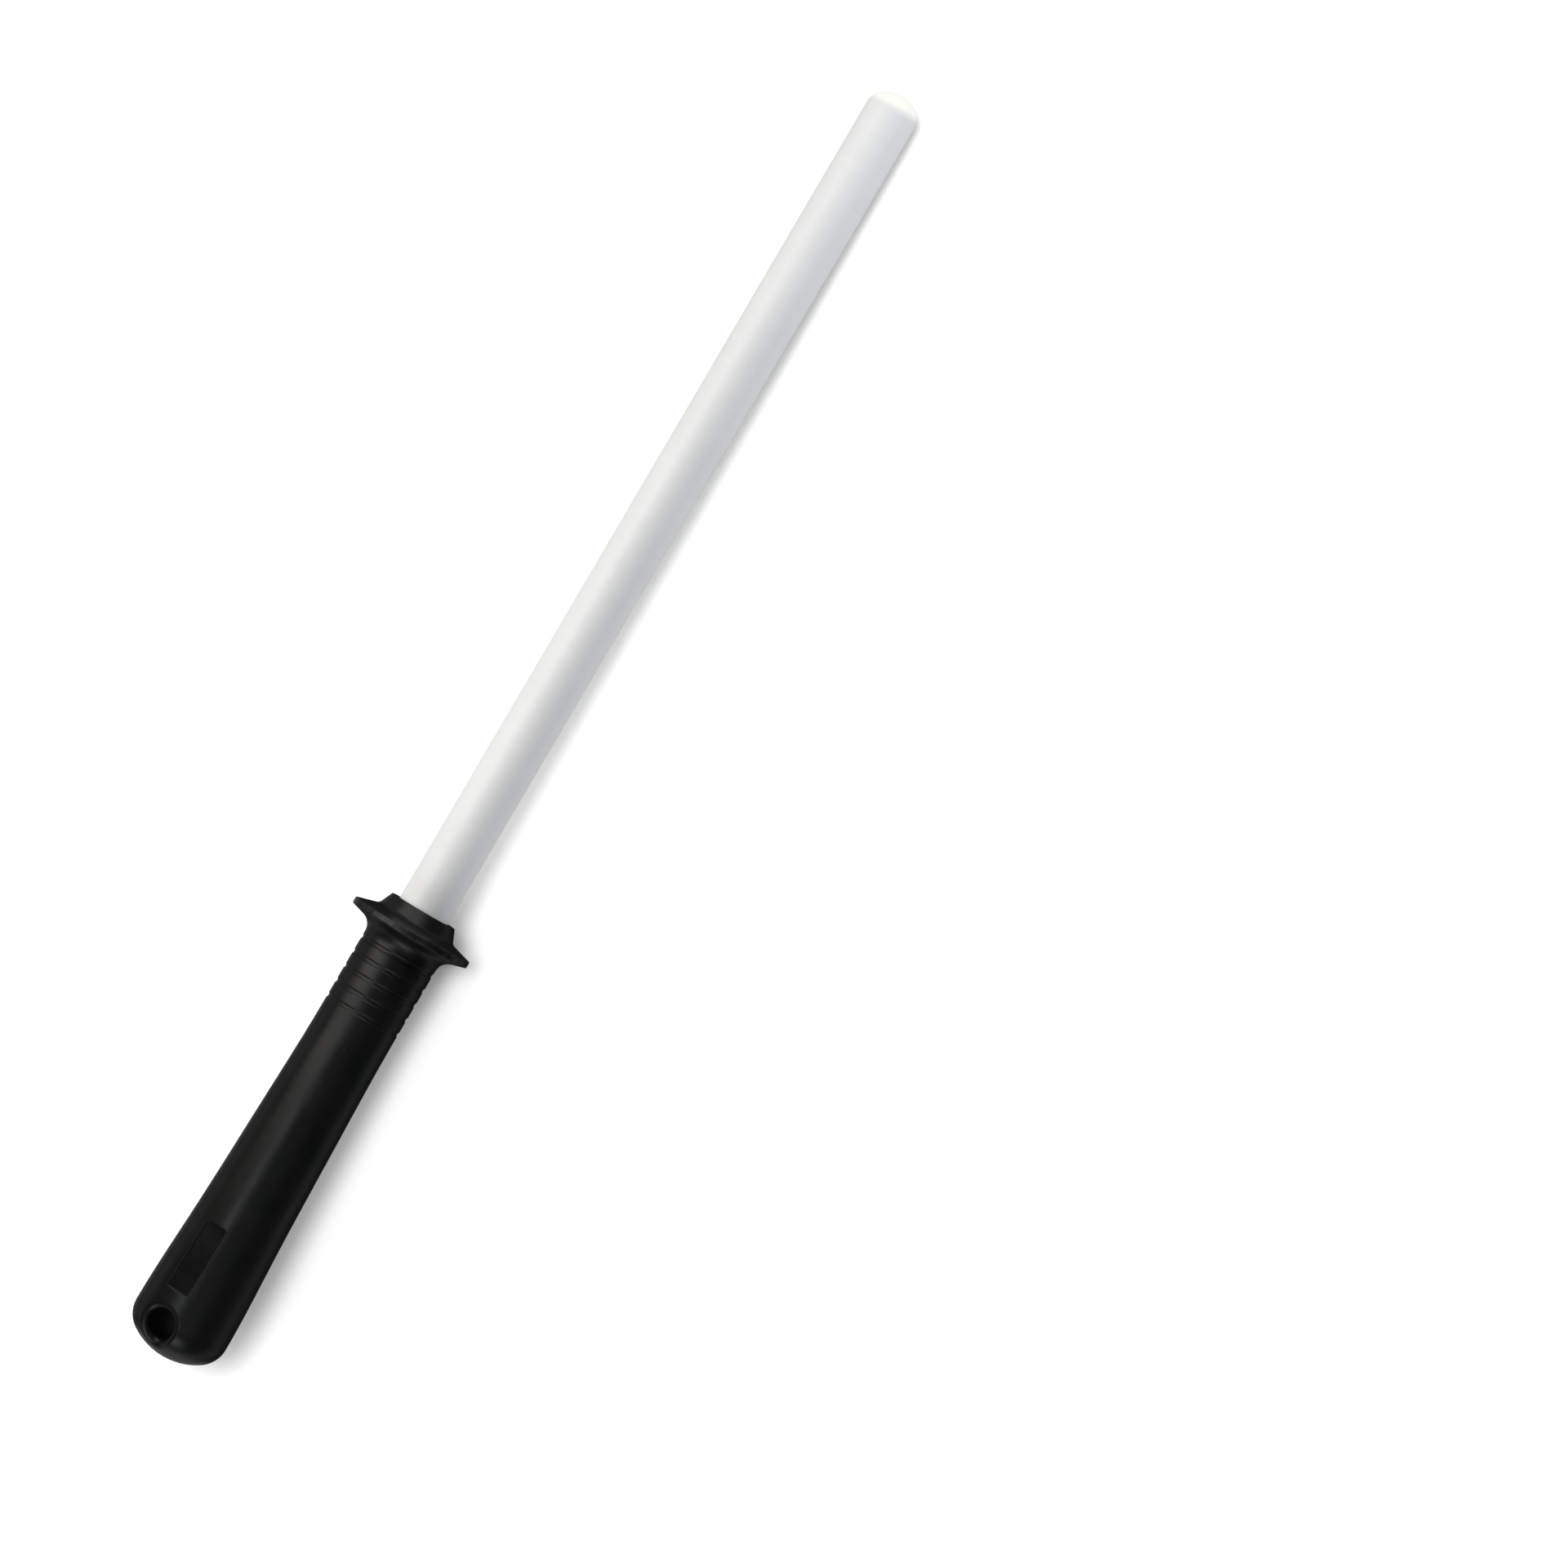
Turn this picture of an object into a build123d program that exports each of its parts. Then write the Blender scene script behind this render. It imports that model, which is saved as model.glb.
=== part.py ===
from build123d import *

import os
from math import atan2, cos, degrees, radians, sin, tan

# A knife sharpening steel with a ceramic rod, in millimetres. It lies along X, with the rod's tip
# towards +X. The origin is the centre of the hang hole, which runs along Z, and the sunken nameplate
# faces +Z. Stations are distances from the butt, and at() turns one into an X coordinate.

# Driving dimensions: the rod
rod_diameter = 15.0
rod_exposed = 257.0
rod_seat_depth = 60.0
rod_tip_dome_radius = 9.0
rod_tip_height = 5.7
rod_root_chamfer = 0.6

# Driving dimensions: the grip
handle_length = 140.4
butt_dome_radius = 18.6
belly_radius = 14.03
belly_station = 10.0
grip_flare = ((37.0, 13.05), (72.5, 11.85))
neck_station = 106.5
neck_radius = 11.08

# Driving dimensions: the guard and the collar
guard_radius = 17.9
guard_back_station = 132.7
guard_rim_width = 1.85
guard_rim_rounding = 0.45
guard_draft = 16.0
guard_root_radius = 3.9
collar_face_radius = 9.8
collar_taper = 24.2
collar_foot_radius = 1.5
collar_edge_radius = 0.3

# Driving dimensions: the ring grooves, the nameplate, the hang hole and the socket
ring_count = 5
ring_pitch = 4.6
ring_middle_station = 116.9
ring_width = 1.3
ring_depth = 0.25
ring_wall_angle = 60.0
ring_edge_radius = 0.2
plate_middle_station = 28.6
plate_length = 20.7
plate_width = 6.5
plate_floor_height = 12.45
plate_tilt = 2.6
plate_corner_radius = 0.6
plate_rim_radius = 0.25
plate_floor_radius = 0.15
hang_hole_radius = 4.0
hang_hole_station = 8.6
hang_hole_mouth_radius = 1.6
adhesive_gap = 0.2
adhesive_bed = 0.5
adhesive_setback = 0.4

# Worked out from the driving dimensions
rod_radius = rod_diameter / 2
socket_radius = rod_radius + adhesive_gap


def at(station):
    """The X coordinate of a station along the tool, counted from the butt."""
    return station - hang_hole_station


collar_x = at(handle_length)
rod_root_x = collar_x - rod_seat_depth
rod_tip_x = collar_x + rod_exposed
socket_floor_x = rod_root_x - adhesive_bed

os.makedirs("parts", exist_ok=True)


def domed_end(apex_x, inward, dome_radius, side_radius, side_distance):
    """Draws a round end in the line being built: a dome, then a corner tangent to it and to the side.

    The dome starts on the axis at apex_x. inward is +1 or -1, the way from the apex into the piece, and the
    side begins side_distance from the apex.
    """
    centre_to_side = dome_radius - side_distance
    corner_radius = (dome_radius**2 - centre_to_side**2 - side_radius**2) / (
        2 * (dome_radius - side_radius)
    )
    corner_height = side_radius - corner_radius
    dome_sweep = degrees(atan2(corner_height, centre_to_side))
    apex_angle = 90 + 90 * inward
    corner_angle = apex_angle - inward * dome_sweep
    CenterArc((apex_x + inward * dome_radius, 0), dome_radius, apex_angle, -inward * dome_sweep)
    CenterArc(
        (apex_x + inward * side_distance, corner_height),
        corner_radius,
        corner_angle,
        -inward * (90 - dome_sweep),
    )


# Ceramic rod: a plain round bar with a rounded tip and a chamfered root
with BuildPart() as ceramic_rod:
    with BuildSketch(Plane.XY):
        with BuildLine():
            domed_end(rod_tip_x, -1, rod_tip_dome_radius, rod_radius, rod_tip_height)
            Polyline(
                (rod_tip_x - rod_tip_height, rod_radius),
                (rod_root_x + rod_root_chamfer, rod_radius),
                (rod_root_x, rod_radius - rod_root_chamfer),
                (rod_root_x, 0),
                (rod_tip_x, 0),
            )
        make_face()
    revolve(axis=Axis.X)

# Guard: both faces are drafted, its root is a large radius, and the collar tapers from it
draft_run = tan(radians(guard_draft))
taper_rise = tan(radians(collar_taper))
guard_root_sweep = 90 - guard_draft
guard_root_end_radius = neck_radius + guard_root_radius * (1 - cos(radians(guard_root_sweep)))
guard_root_end_x = at(guard_back_station) - (guard_radius - guard_root_end_radius) * draft_run
guard_root_start_x = guard_root_end_x - guard_root_radius * sin(radians(guard_root_sweep))
guard_front_x = at(guard_back_station) + guard_rim_width
collar_foot_x = (
    guard_radius - collar_face_radius + guard_front_x / draft_run - collar_x * taper_rise
) / (1 / draft_run - taper_rise)
collar_foot_height = collar_face_radius + (collar_x - collar_foot_x) * taper_rise

# Nameplate recess: its flat floor is tilted to follow the grip's taper
plate_normal = (sin(radians(plate_tilt)), 0, cos(radians(plate_tilt)))
plate_along = (cos(radians(plate_tilt)), 0, -sin(radians(plate_tilt)))
plate_floor = Plane(
    origin=(at(plate_middle_station), 0, plate_floor_height),
    x_dir=plate_along,
    z_dir=plate_normal,
)

# Handle: one moulding with the grip, the ring grooves, the guard, the collar and the blind socket
with BuildPart() as handle:
    with BuildSketch(Plane.XY):
        with BuildLine():
            domed_end(at(0), 1, butt_dome_radius, belly_radius, belly_station)
            Spline(
                (at(belly_station), belly_radius),
                *[(at(station), radius) for station, radius in grip_flare],
                (at(neck_station), neck_radius),
                tangents=[(1, 0), (1, 0)],
            )
            Line((at(neck_station), neck_radius), (guard_root_start_x, neck_radius))
            CenterArc(
                (guard_root_start_x, neck_radius + guard_root_radius),
                guard_root_radius,
                -90,
                guard_root_sweep,
            )
            FilletPolyline(
                (guard_root_end_x, guard_root_end_radius),
                (at(guard_back_station), guard_radius),
                (guard_front_x, guard_radius),
                (collar_foot_x, collar_foot_height),
                (collar_x, collar_face_radius),
                (collar_x, 0),
                radius=[guard_rim_rounding, guard_rim_rounding, collar_foot_radius, collar_edge_radius],
            )
            Line((collar_x, 0), (at(0), 0))
        make_face()
    revolve(axis=Axis.X)

    # Hang hole, straight through, with rounded mouths
    with BuildSketch(Plane.XY):
        Circle(hang_hole_radius)
    extrude(amount=butt_dome_radius, both=True, mode=Mode.SUBTRACT)
    hole_mouths = handle.edges(Select.LAST).filter_by(GeomType.LINE, reverse=True)
    fillet(hole_mouths, hang_hole_mouth_radius)

    # Nameplate recess, cut outwards from its flat floor, with a soft rim and a soft edge round the floor
    with BuildSketch(plate_floor):
        RectangleRounded(plate_length, plate_width, plate_corner_radius)
    extrude(amount=belly_radius - plate_floor_height, mode=Mode.SUBTRACT)
    plate_edges = handle.edges(Select.LAST)
    fillet(plate_edges.filter_by(plate_floor), plate_floor_radius)
    fillet(plate_edges.filter_by(GeomType.BSPLINE), plate_rim_radius)

    # Ring grooves with sloping walls and soft edges: each is ring_width wide where it meets the neck
    cutter_width = ring_width + 2 * ring_depth / tan(radians(ring_wall_angle))
    with BuildSketch(Plane.XY):
        with Locations((at(ring_middle_station), neck_radius)):
            with GridLocations(ring_pitch, 1, ring_count, 1):
                Trapezoid(cutter_width, 2 * ring_depth, ring_wall_angle, rotation=180)
    revolve(axis=Axis.X, mode=Mode.SUBTRACT)
    ring_edges = handle.edges(Select.LAST).filter_by(GeomType.CIRCLE)
    fillet(ring_edges, ring_edge_radius)

    # Blind socket for the rod's root
    with BuildSketch(Plane.YZ.offset(collar_x)):
        Circle(socket_radius)
    extrude(amount=socket_floor_x - collar_x, mode=Mode.SUBTRACT)

# Cured adhesive: it fills the socket round the rod and under its end, and stops short of the collar's face
with BuildPart() as rod_adhesive:
    with BuildSketch(Plane.YZ.offset(socket_floor_x)):
        Circle(socket_radius)
    extrude(amount=collar_x - adhesive_setback - socket_floor_x)
    add(ceramic_rod.part, mode=Mode.SUBTRACT)

ceramic_rod.part.label = "ceramic_rod"
export_step(ceramic_rod.part, "parts/ceramic_rod.step")

handle.part.label = "handle"
export_step(handle.part, "parts/handle.step")

rod_adhesive.part.label = "rod_adhesive"
export_step(rod_adhesive.part, "parts/rod_adhesive.step")
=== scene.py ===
from math import cos, pi, radians, sin

import bpy
import numpy as np
from mathutils import Matrix, Vector


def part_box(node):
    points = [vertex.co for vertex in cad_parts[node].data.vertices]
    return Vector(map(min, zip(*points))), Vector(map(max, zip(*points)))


# The looks of a knife sharpening steel with a ceramic rod. Metres throughout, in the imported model's frame:
# the tool lies along X with its tip towards +X, and its hang hole runs along Z.

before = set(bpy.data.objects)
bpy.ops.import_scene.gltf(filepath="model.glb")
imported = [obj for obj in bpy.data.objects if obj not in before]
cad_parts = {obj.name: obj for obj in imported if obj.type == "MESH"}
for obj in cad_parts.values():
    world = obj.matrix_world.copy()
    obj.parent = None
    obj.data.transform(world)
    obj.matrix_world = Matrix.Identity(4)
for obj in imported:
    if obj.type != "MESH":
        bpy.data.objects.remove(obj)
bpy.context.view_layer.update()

MM = 0.001
TOOL_AXIS = Vector((1, 0, 0))

# The camera looks straight across the tool's axis, turned off the hang hole's axis, and the tool's axis
# climbs steeply across the picture to the rod's tip at the top right. The view is VIEW_WIDTH wide at the
# tool, and its middle is beside the axis.
TURN_OFF_HOLE = radians(22.5)
AXIS_CLIMB = radians(59.6)
VIEW_WIDTH = 0.4267
AIM_BACK_FROM_TIP = 0.1776
AIM_ACROSS = 0.0671
LENS = 200.0
SENSOR = 36.0

# The sunken nameplate on the handle's +Z side. Its floor's finish starts and is complete at these distances
# inside the plate's outline.
PLATE_MIDDLE_X = 20.0 * MM
PLATE_LENGTH = 20.7 * MM
PLATE_WIDTH = 6.5 * MM
PLATE_START = 0.1 * MM
PLATE_FULL = 0.3 * MM

# The rod, as distances from its tip: the painted light on the dome, a lighter and warmer colour for the
# light that falls on the tip end, and the grey smears that knives leave both start at the first and are
# complete at the second
DOME_START = 5.2 * MM
DOME_FULL = 2.6 * MM
SMEARS_START = 240 * MM
SMEARS_FULL = 120 * MM

# How far the handle's wear reaches inwards from the guard's rim and forwards from the butt
RIM_WEAR_REACH = 0.7 * MM
BUTT_WEAR_REACH = 5 * MM

# The floor touches the foremost of the handle's points within FOOT_DEPTH of its lowest, and the rod at a
# point at least ROD_CLEAR_OF_FOOT ahead of that
FLOOR_SIZE = 60.0
FOOT_DEPTH = 0.05 * MM
ROD_CLEAR_OF_FOOT = 10 * MM

# A far light's place changes nothing, because only its direction counts
FAR_LIGHT_DISTANCE = 2.0
FAR_LIGHT_STATION = 0.15

# The room's brightness by direction, to all but the camera: 1 is straight towards the camera, 0 is square
# to that and -1 is straight away from it. The bright band stands for the pale table.
ROOM_COLOUR = (0.95, 0.98, 1, 1)
ROOM = ((-1.0, 0.02), (-0.65, 0.04), (-0.35, 0.5), (-0.2, 0.6), (-0.1, 0.035), (0.75, 0.035), (1.0, 0.07))


def tool_ends():
    """The X of the butt and of the rod's tip."""
    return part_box("handle")[0].x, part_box("ceramic_rod")[1].x


def camera_axes():
    """The directions of the picture's right, the picture's up, and back towards the camera."""
    back = Vector((0, -sin(TURN_OFF_HOLE), cos(TURN_OFF_HOLE)))
    across = TOOL_AXIS.cross(back)
    right = TOOL_AXIS * cos(AXIS_CLIMB) + across * sin(AXIS_CLIMB)
    up = TOOL_AXIS * sin(AXIS_CLIMB) - across * cos(AXIS_CLIMB)
    return right, up, back


def make_camera():
    """A long lens, square to the tool's axis."""
    right, up, back = camera_axes()
    tip_x = tool_ends()[1]
    across = TOOL_AXIS.cross(back)
    aim = TOOL_AXIS * (tip_x - AIM_BACK_FROM_TIP) + across * AIM_ACROSS
    distance = VIEW_WIDTH * LENS / SENSOR

    data = bpy.data.cameras.new("camera")
    data.lens = LENS
    data.sensor_width = SENSOR
    camera = bpy.data.objects.new("camera", data)
    bpy.context.scene.collection.objects.link(camera)
    turn = Matrix((right, up, back)).transposed()
    camera.matrix_world = Matrix.Translation(aim + back * distance) @ turn.to_4x4()
    bpy.context.scene.camera = camera


def node_points(name):
    """A CAD node's vertices as an array of rows."""
    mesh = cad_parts[name].data
    points = np.empty(len(mesh.vertices) * 3, dtype=np.float32)
    mesh.vertices.foreach_get("co", points)
    return points.reshape(-1, 3)


def resting_plane():
    """A point on the plane that the tool lies on, by its guard and the rod's tip, and its slope along X."""
    handle = node_points("handle")
    lowest = handle[handle[:, 2] < handle[:, 2].min() + FOOT_DEPTH]
    guard_foot = lowest[lowest[:, 0].argmax()]
    rod = node_points("ceramic_rod")
    ahead = rod[rod[:, 0] > guard_foot[0] + ROD_CLEAR_OF_FOOT]
    slopes = (ahead[:, 2] - guard_foot[2]) / (ahead[:, 0] - guard_foot[0])
    return Vector(guard_foot.tolist()), float(slopes.min())


def make_floor(material):
    """A wide pale sheet under the tool."""
    foot, slope = resting_plane()
    half = FLOOR_SIZE / 2
    corners = [(-half, -half), (half, -half), (half, half), (-half, half)]
    mesh = bpy.data.meshes.new("floor")
    mesh.from_pydata([(x, y, foot.z + slope * (x - foot.x)) for x, y in corners], [], [(0, 1, 2, 3)])
    mesh.materials.append(material)
    floor = bpy.data.objects.new("floor", mesh)
    bpy.context.scene.collection.objects.link(floor)
    floor.visible_glossy = False
    return floor


class Finish:
    """A node material being built over object coordinates, which are metres along the tool's own axes."""

    def __init__(self, name):
        self.material = bpy.data.materials.new(name)
        self.material.use_nodes = True
        self.nodes = self.material.node_tree.nodes
        self.links = self.material.node_tree.links
        self.nodes.clear()
        output = self.node("OutputMaterial")
        self.shader = self.node("BsdfPrincipled")
        self.links.new(self.shader.outputs["BSDF"], output.inputs["Surface"])
        self.place = self.node("TexCoord").outputs["Object"]

    def node(self, kind, **settings):
        """A new node with some of its properties set."""
        node = self.nodes.new("ShaderNode" + kind)
        for name, value in settings.items():
            setattr(node, name, value)
        return node

    def feed(self, socket, value):
        """Links a socket to another node's output, or sets it to a constant."""
        if isinstance(value, bpy.types.NodeSocket):
            self.links.new(value, socket)
        else:
            socket.default_value = value

    def math(self, operation, a, b=0.0):
        """One arithmetic step."""
        node = self.node("Math", operation=operation)
        self.feed(node.inputs[0], a)
        self.feed(node.inputs[1], b)
        return node.outputs["Value"]

    def stretched(self, length, width, turn=(0, 0, 0)):
        """Coordinates that stretch a texture along X and across it, and turn it by angles in degrees."""
        node = self.node("Mapping", vector_type="TEXTURE")
        self.feed(node.inputs["Vector"], self.place)
        node.inputs["Rotation"].default_value = [radians(angle) for angle in turn]
        node.inputs["Scale"].default_value = (length, width, width)
        return node.outputs["Vector"]

    def along(self, axis="X"):
        """One of the coordinates."""
        split = self.node("SeparateXYZ")
        self.feed(split.inputs[0], self.place)
        return split.outputs[axis]

    def off_axis(self):
        """The distance from the tool's axis."""
        y, z = self.along("Y"), self.along("Z")
        squares = self.math("ADD", self.math("MULTIPLY", y, y), self.math("MULTIPLY", z, z))
        return self.math("SQRT", squares)

    def noise(self, scale, detail=2.0, roughness=0.5, vector=None, distortion=0.0):
        """Fractal noise from 0 to 1. scale is in features per metre, or per unit of a stretched vector."""
        node = self.node("TexNoise")
        self.feed(node.inputs["Vector"], vector or self.place)
        node.inputs["Scale"].default_value = scale
        node.inputs["Detail"].default_value = detail
        node.inputs["Roughness"].default_value = roughness
        node.inputs["Distortion"].default_value = distortion
        return node.outputs["Fac"]

    def fit(self, value, low, high, to_low=0.0, to_high=1.0):
        """Maps the range from low to high smoothly onto another, and holds it level outside."""
        node = self.node("MapRange", interpolation_type="SMOOTHSTEP")
        self.feed(node.inputs["Value"], value)
        node.inputs["From Min"].default_value = low
        node.inputs["From Max"].default_value = high
        node.inputs["To Min"].default_value = to_low
        node.inputs["To Max"].default_value = to_high
        return node.outputs["Result"]

    def blend(self, amount, first, second):
        """A colour between two, where amount 0 gives the first and 1 the second."""
        node = self.node("Mix", data_type="RGBA")
        self.feed(node.inputs[0], amount)
        self.feed(node.inputs[6], first if isinstance(first, bpy.types.NodeSocket) else (*first, 1))
        self.feed(node.inputs[7], second if isinstance(second, bpy.types.NodeSocket) else (*second, 1))
        return node.outputs[2]

    def bump(self, height, distance, under=None):
        """Relief of a depth in metres, on top of any that is already there."""
        node = self.node("Bump")
        node.inputs["Distance"].default_value = distance
        self.feed(node.inputs["Height"], height)
        if under:
            self.feed(node.inputs["Normal"], under)
        return node.outputs["Normal"]

    def scratches(self, length, width, turn=(0, 0, 0)):
        """1 along fine straight scratches and 0 elsewhere."""
        return self.fit(self.noise(1.0, 2.0, vector=self.stretched(length, width, turn)), 0.67, 0.75)


def paper_finish():
    """White studio paper with a fine tooth."""
    paper = Finish("studio_paper")
    tooth = paper.noise(1400, 3.0)
    body = paper.blend(tooth, (0.93, 0.93, 0.93), (0.97, 0.97, 0.97))
    paper.feed(paper.shader.inputs["Base Color"], body)
    paper.feed(paper.shader.inputs["Roughness"], paper.fit(tooth, 0.3, 0.7, 0.85, 0.95))
    paper.shader.inputs["Specular IOR Level"].default_value = 0.1
    paper.feed(paper.shader.inputs["Normal"], paper.bump(tooth, 0.02 * MM))
    return paper.material


def rod_finish():
    """White sintered ceramic, ground round and round, with fine pores, and a tip dome painted lighter and
    warmer as painted light from the tip end.
    """
    rod = Finish("ground_ceramic")
    tip_x = tool_ends()[1]
    clouds = rod.noise(70, 3.0)
    body = rod.blend(clouds, (0.595, 0.61, 0.613), (0.635, 0.638, 0.636))

    grinding = rod.noise(1.0, 2.0, vector=rod.stretched(0.26 * MM, 6 * MM))
    bands = rod.noise(1.0, 2.0, vector=rod.stretched(4 * MM, 80 * MM))
    body = rod.blend(rod.fit(bands, 0.35, 0.65, 0.0, 0.35), body, (0.60, 0.602, 0.60))
    body = rod.blend(rod.fit(grinding, 0.3, 0.7, 0.0, 0.2), body, (0.55, 0.55, 0.55))

    pores = rod.fit(rod.noise(4200, 1.0), 0.70, 0.76)
    body = rod.blend(rod.math("MULTIPLY", pores, 0.5), body, (0.42, 0.41, 0.39))

    traces = rod.noise(1.0, 2.0, vector=rod.stretched(18 * MM, 2.4 * MM), distortion=0.4)
    worked = rod.fit(rod.along(), tip_x - SMEARS_START, tip_x - SMEARS_FULL)
    smears = rod.math("MULTIPLY", rod.fit(traces, 0.58, 0.78, 0.0, 0.10), worked)
    body = rod.blend(smears, body, (0.40, 0.41, 0.42))

    # Painted light: the tip dome is painted lighter and warmer for the light that falls on the tip end
    painted_tip_light = rod.fit(rod.along(), tip_x - DOME_START, tip_x - DOME_FULL)
    body = rod.blend(painted_tip_light, body, (0.79, 0.765, 0.71))
    rod.feed(rod.shader.inputs["Base Color"], body)

    rod.feed(rod.shader.inputs["Roughness"], rod.fit(grinding, 0.3, 0.7, 0.46, 0.56))
    rod.shader.inputs["Specular IOR Level"].default_value = 0.3
    relief = rod.bump(grinding, 0.012 * MM)
    relief = rod.bump(pores, -0.015 * MM, relief)
    rod.feed(rod.shader.inputs["Normal"], relief)
    return rod.material


def plate_area(handle):
    """1 on the nameplate's floor and 0 off it."""
    area = handle.math("GREATER_THAN", handle.along("Z"), 0.0)
    for axis, middle, size in (("X", PLATE_MIDDLE_X, PLATE_LENGTH), ("Y", 0.0, PLATE_WIDTH)):
        off_middle = handle.math("ABSOLUTE", handle.math("SUBTRACT", handle.along(axis), middle))
        within = handle.fit(off_middle, size / 2 - PLATE_FULL, size / 2 - PLATE_START, 1.0, 0.0)
        area = handle.math("MULTIPLY", area, within)
    return area


def handle_finish():
    """Black moulded plastic: fine grain, uneven gloss, short scratches, and wear on guard and butt."""
    handle = Finish("moulded_plastic")
    butt_x = tool_ends()[0]
    guard_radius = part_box("handle")[1].z
    clouds = handle.noise(130, 3.0)
    tint = handle.fit(clouds, 0.35, 0.65)
    body = handle.blend(tint, (0.0022, 0.0027, 0.0026), (0.0040, 0.0038, 0.0035))

    grain = handle.noise(2600, 3.0, 0.6)
    body = handle.blend(handle.fit(grain, 0.35, 0.7, 0.0, 0.5), body, (0.0052, 0.0052, 0.0050))

    scratch_patches = handle.fit(handle.noise(38, 2.0), 0.52, 0.66)
    lengthwise = handle.scratches(24 * MM, 0.45 * MM, (0, 6, 4))
    slanted = handle.scratches(9 * MM, 0.35 * MM, (0, 40, 55))
    scuffs = handle.math("MULTIPLY", handle.math("MAXIMUM", lengthwise, slanted), scratch_patches)
    body = handle.blend(handle.math("MULTIPLY", scuffs, 0.4), body, (0.014, 0.014, 0.014))

    rim = handle.fit(handle.off_axis(), guard_radius - RIM_WEAR_REACH, guard_radius)
    butt = handle.fit(handle.along(), butt_x + BUTT_WEAR_REACH, butt_x)
    edges = handle.math("MAXIMUM", rim, handle.math("MULTIPLY", butt, 0.6))
    wear = handle.math("MULTIPLY", edges, handle.fit(handle.noise(520, 4.0, 0.65), 0.42, 0.62))
    body = handle.blend(handle.math("MULTIPLY", wear, 0.6), body, (0.020, 0.020, 0.019))
    handle.feed(handle.shader.inputs["Base Color"], body)

    gloss = handle.noise(85, 4.0, 0.65)
    roughness = handle.fit(gloss, 0.3, 0.7, 0.33, 0.415)
    roughness = handle.math("ADD", roughness, handle.math("MULTIPLY", scuffs, 0.1))
    roughness = handle.math("SUBTRACT", roughness, handle.math("MULTIPLY", wear, 0.06))
    plate = plate_area(handle)
    roughness = handle.math("SUBTRACT", roughness, handle.math("MULTIPLY", plate, 0.12))
    handle.feed(handle.shader.inputs["Roughness"], roughness)
    handle.shader.inputs["Specular IOR Level"].default_value = 0.2

    relief = handle.bump(handle.noise(42, 1.0), 0.12 * MM)
    grain_height = handle.math("MULTIPLY", grain, handle.fit(plate, 0.0, 1.0, 1.0, 0.3))
    relief = handle.bump(grain_height, 0.012 * MM, relief)
    relief = handle.bump(scuffs, -0.015 * MM, relief)
    relief = handle.bump(wear, -0.02 * MM, relief)
    handle.feed(handle.shader.inputs["Normal"], relief)
    return handle.material


def adhesive_finish():
    """Cured epoxy with fine bubbles."""
    epoxy = Finish("cured_epoxy")
    clouds = epoxy.noise(500, 3.0)
    bubbles = epoxy.fit(epoxy.noise(2400, 1.0), 0.62, 0.70)
    body = epoxy.blend(clouds, (0.46, 0.43, 0.35), (0.56, 0.53, 0.45))
    body = epoxy.blend(epoxy.math("MULTIPLY", bubbles, 0.4), body, (0.66, 0.64, 0.58))
    epoxy.feed(epoxy.shader.inputs["Base Color"], body)
    epoxy.feed(epoxy.shader.inputs["Roughness"], epoxy.fit(clouds, 0.3, 0.7, 0.5, 0.68))
    relief = epoxy.bump(clouds, 0.04 * MM)
    relief = epoxy.bump(bubbles, -0.03 * MM, relief)
    epoxy.feed(epoxy.shader.inputs["Normal"], relief)
    return epoxy.material


def dress(node, material):
    """Gives a CAD node its finish."""
    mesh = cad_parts[node].data
    mesh.materials.clear()
    mesh.materials.append(material)


def light_direction(lateral, lean):
    """The way to a light, turned in degrees from the camera's: lateral to the right, lean to the tip."""
    back = camera_axes()[2]
    across = TOOL_AXIS.cross(back)
    outwards = back * cos(radians(lateral)) + across * sin(radians(lateral))
    return outwards * cos(radians(lean)) + TOOL_AXIS * sin(radians(lean))


def place_light(data, towards, distance, station):
    """Puts a light at a distance from the point X = station on the tool's axis, facing it.

    Its length lies along the tool, and the camera doesn't see it.
    """
    light = bpy.data.objects.new(data.name, data)
    bpy.context.scene.collection.objects.link(light)
    along = (TOOL_AXIS - towards * TOOL_AXIS.dot(towards)).normalized()
    turn = Matrix((along.cross(towards), along, towards)).transposed()
    place = TOOL_AXIS * station + towards * distance
    light.matrix_world = Matrix.Translation(place) @ turn.to_4x4()
    light.visible_camera = False
    return light


def far_light(name, lateral, lean, spread, strength, colour):
    """A light so far off that it shines on everything evenly. spread is its width in degrees."""
    data = bpy.data.lights.new(name, "SUN")
    data.angle = radians(spread)
    data.energy = strength
    data.color = colour
    return place_light(data, light_direction(lateral, lean), FAR_LIGHT_DISTANCE, FAR_LIGHT_STATION)


def softbox(name, lateral, lean, station, distance, width, length, radiance, colour):
    """A rectangular light near the tool, at a distance from the X = station that it faces."""
    data = bpy.data.lights.new(name, "AREA")
    data.shape = "RECTANGLE"
    data.size = width
    data.size_y = length
    data.energy = radiance * pi * width * length
    data.color = colour
    return place_light(data, light_direction(lateral, lean), distance, station)


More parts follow.
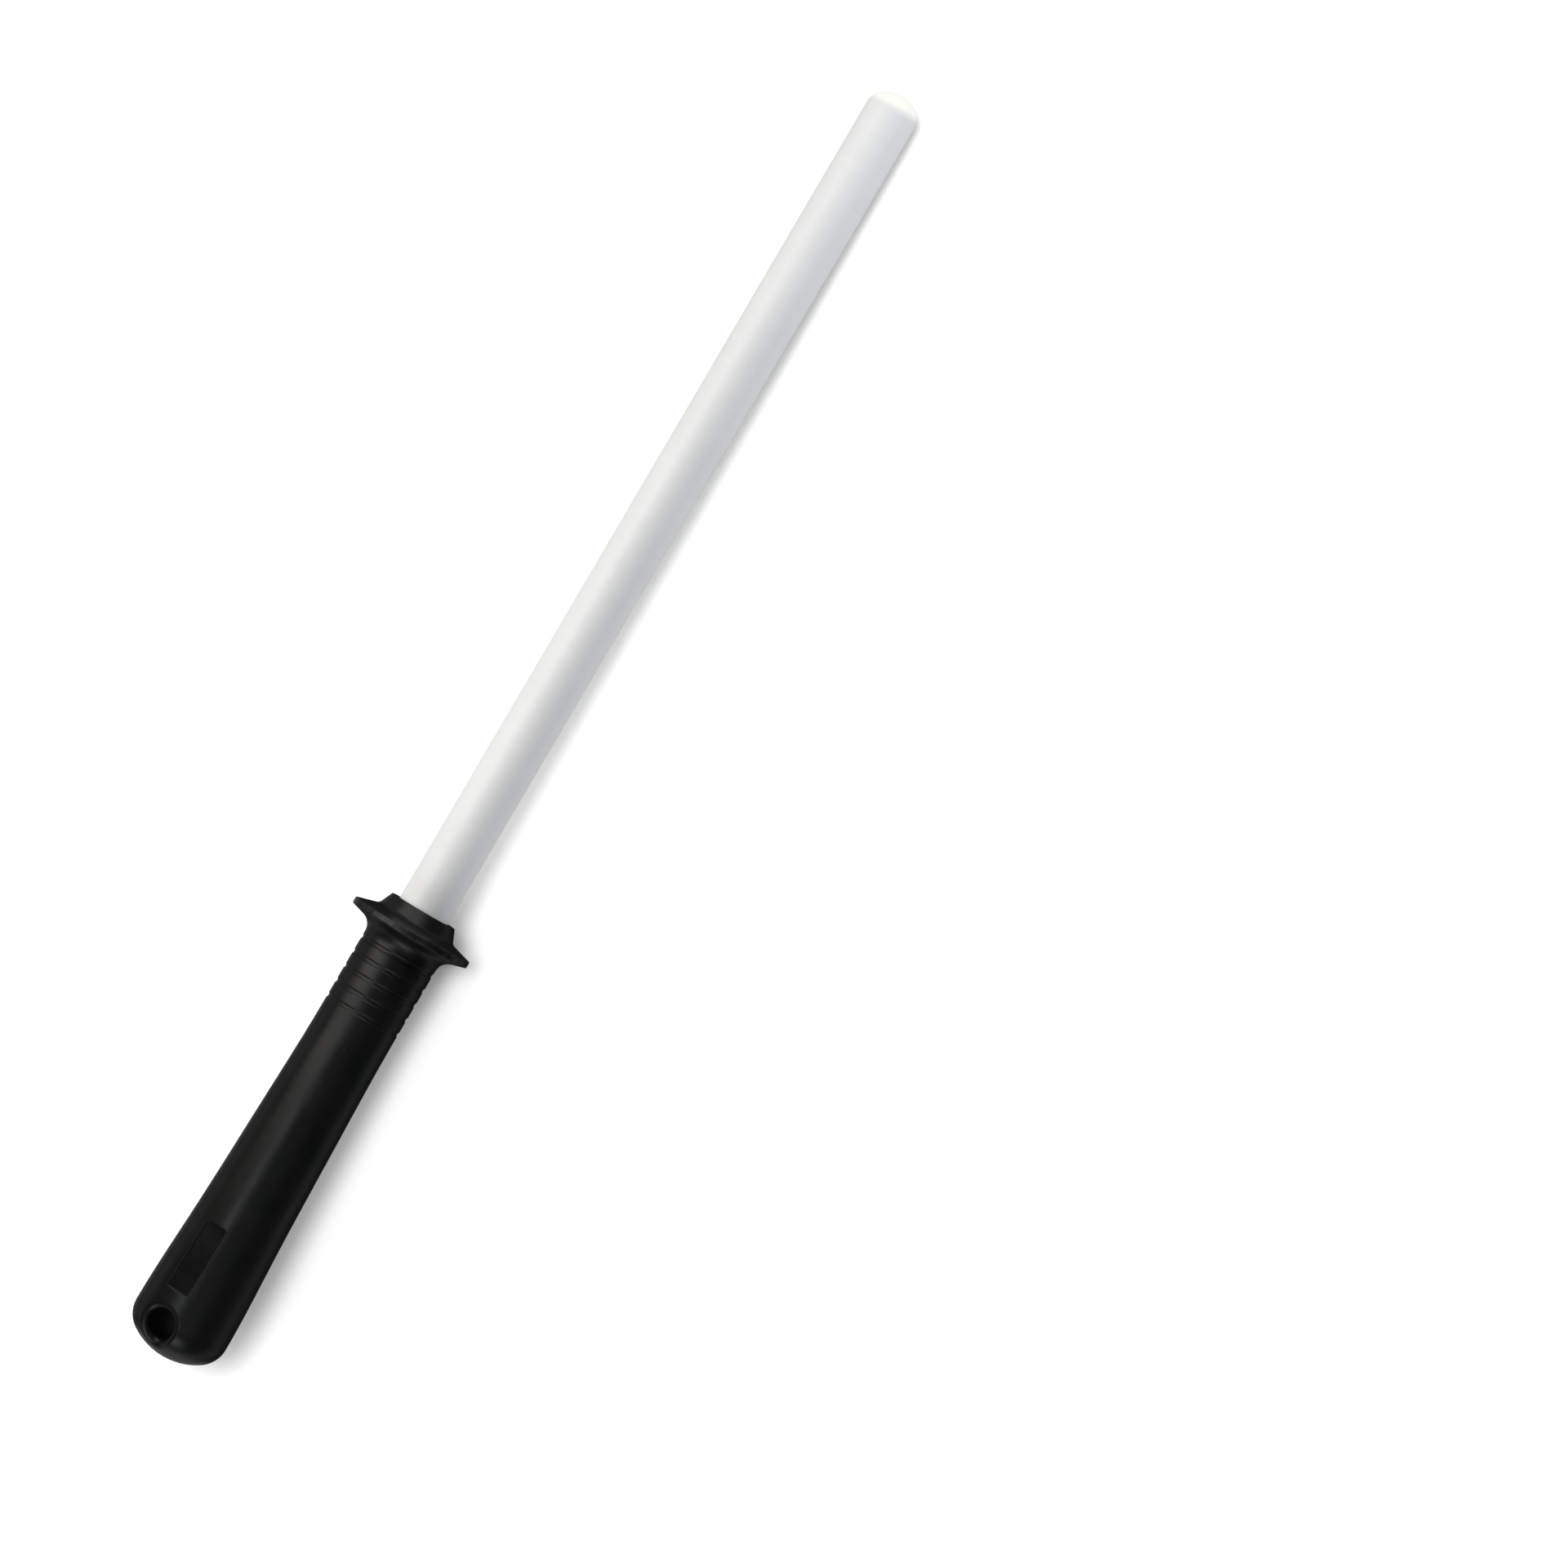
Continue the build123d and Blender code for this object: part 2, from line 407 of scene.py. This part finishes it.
def make_room():
    """A room that is plain white to the camera, and ROOM in everything's light and reflections."""
    world = bpy.data.worlds.new("room")
    bpy.context.scene.world = world
    world.use_nodes = True
    nodes, links = world.node_tree.nodes, world.node_tree.links
    nodes.clear()
    output = nodes.new("ShaderNodeOutputWorld")
    mix = nodes.new("ShaderNodeMixShader")
    seen = nodes.new("ShaderNodeBackground")
    seen.inputs["Color"].default_value = (1, 1, 1, 1)
    seen.inputs["Strength"].default_value = 1.0
    room = nodes.new("ShaderNodeBackground")
    room.inputs["Color"].default_value = ROOM_COLOUR
    direction = nodes.new("ShaderNodeTexCoord")
    height = nodes.new("ShaderNodeVectorMath")
    height.operation = "DOT_PRODUCT"
    height.inputs[1].default_value = camera_axes()[2]
    links.new(direction.outputs["Generated"], height.inputs[0])
    ramp = nodes.new("ShaderNodeValToRGB")
    elements = ramp.color_ramp.elements
    while len(elements) > 1:
        elements.remove(elements[-1])
    for index, (level, brightness) in enumerate(ROOM):
        position = (level + 1) / 2
        element = elements.new(position) if index else elements[0]
        element.position = position
        element.color = (brightness, brightness, brightness, 1)
    scale = nodes.new("ShaderNodeMapRange")
    scale.inputs["From Min"].default_value = -1.0
    links.new(height.outputs["Value"], scale.inputs["Value"])
    links.new(scale.outputs["Result"], ramp.inputs["Fac"])
    links.new(ramp.outputs["Color"], room.inputs["Strength"])
    path = nodes.new("ShaderNodeLightPath")
    links.new(path.outputs["Is Camera Ray"], mix.inputs["Fac"])
    links.new(room.outputs["Background"], mix.inputs[1])
    links.new(seen.outputs["Background"], mix.inputs[2])
    links.new(mix.outputs["Shader"], output.inputs["Surface"])


def share_light(name, objects, lights):
    """Keeps some lights to some objects."""
    group = bpy.data.collections.new(name)
    for member in objects:
        group.objects.link(member)
    for light in lights:
        light.light_linking.receiver_collection = group


def make_lights(floor):
    """The tool's fills, end lights and highlights, and the floor's own lights.

    Fills don't show in gloss, and highlights show only there. butt_table and side_table stand for the pale
    table that the dark handle reflects from below, because the floor itself doesn't show in gloss.
    """
    warm = (1, 0.965, 0.905)
    cool = (0.93, 0.965, 1)
    white = (1, 1, 1)
    fills = [
        far_light("key", -54, 0, 36, 1.85, warm),
        softbox("side_fill", -76, 0, 0.15, 0.35, 0.25, 0.25, 3.0, warm),
        softbox("tip_fill", 35, 20, 0.40, 0.30, 0.22, 0.22, 2.75, cool),
        softbox("tip_glow", -5, 10, 0.395, 0.10, 0.06, 0.06, 1.15, cool),
    ]
    ends = [
        far_light("tip_end", -12, 60, 40, 1.4, cool),
        far_light("butt_end", 0, -60, 40, 1.2, cool),
    ]
    highlights = [
        softbox("guard_softbox", -49, -10, 0.267, 0.22, 0.15, 0.30, 4.5, warm),
        softbox("butt_softbox", -24, -4, 0.010, 0.44, 0.08, 0.14, 8.8, cool),
        softbox("butt_side_softbox", 18, -8, 0.0, 0.44, 0.25, 0.12, 1.0, cool),
        softbox("butt_table", 180, -42, 0.0, 0.35, 0.3, 0.3, 0.35, white),
        softbox("side_table", -148, 0, 0.06, 0.4, 0.12, 0.4, 0.35, white),
    ]
    table = [
        far_light("table_light", -15, 0, 25, 1.5, white),
        far_light("table_sky", -22, 0, 140, 2.8, white),
    ]
    for light in fills:
        light.visible_glossy = False
    for light in highlights:
        light.visible_diffuse = False
    share_light("tool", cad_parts.values(), fills + ends + highlights)
    share_light("table", [floor], table)


make_camera()
floor = make_floor(paper_finish())
dress("ceramic_rod", rod_finish())
dress("handle", handle_finish())
dress("rod_adhesive", adhesive_finish())
make_lights(floor)
make_room()
bpy.context.scene.view_settings.view_transform = "Standard"
